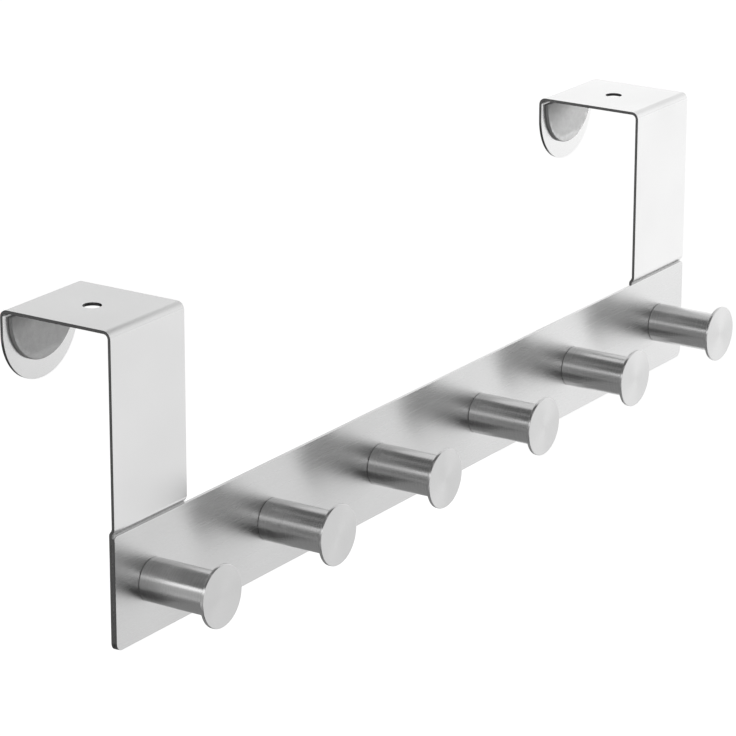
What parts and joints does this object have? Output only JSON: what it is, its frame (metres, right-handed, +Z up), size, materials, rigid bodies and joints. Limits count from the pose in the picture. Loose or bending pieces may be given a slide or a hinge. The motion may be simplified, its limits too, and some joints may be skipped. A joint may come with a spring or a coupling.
{
  "type": "over door hook",
  "caption": "Brushed steel coat rail with turned pegs, hung over the top edge of a door by two folded straps with padded tongues.",
  "frame": {"origin": "on the door's top edge, halfway between the two straps, in the middle of the door's thickness", "axes": "+X along the rail from the left strap to the right strap, +Y from the front of the door to its back, +Z up"},
  "size_m": [0.4, 0.0774, 0.116],
  "materials": {
    "rail_steel": "brushed along its length",
    "strap_steel": "finely brushed",
    "peg_steel": "turned and satin polished",
    "screw_steel": "plain stainless",
    "pad_foam": "smooth closed-cell foam"
  },
  "bodies": {
    "root": {"rail": "rail_steel", "strap_left": "strap_steel", "strap_right": "strap_steel", "tongue_pad_left": "pad_foam", "tongue_pad_right": "pad_foam", "peg_1": "peg_steel", "peg_2": "peg_steel", "peg_3": "peg_steel", "peg_4": "peg_steel", "peg_5": "peg_steel", "peg_6": "peg_steel", "peg_screw_1": "screw_steel", "peg_screw_2": "screw_steel", "peg_screw_3": "screw_steel", "peg_screw_4": "screw_steel", "peg_screw_5": "screw_steel", "peg_screw_6": "screw_steel"}
  },
  "joints": []
}
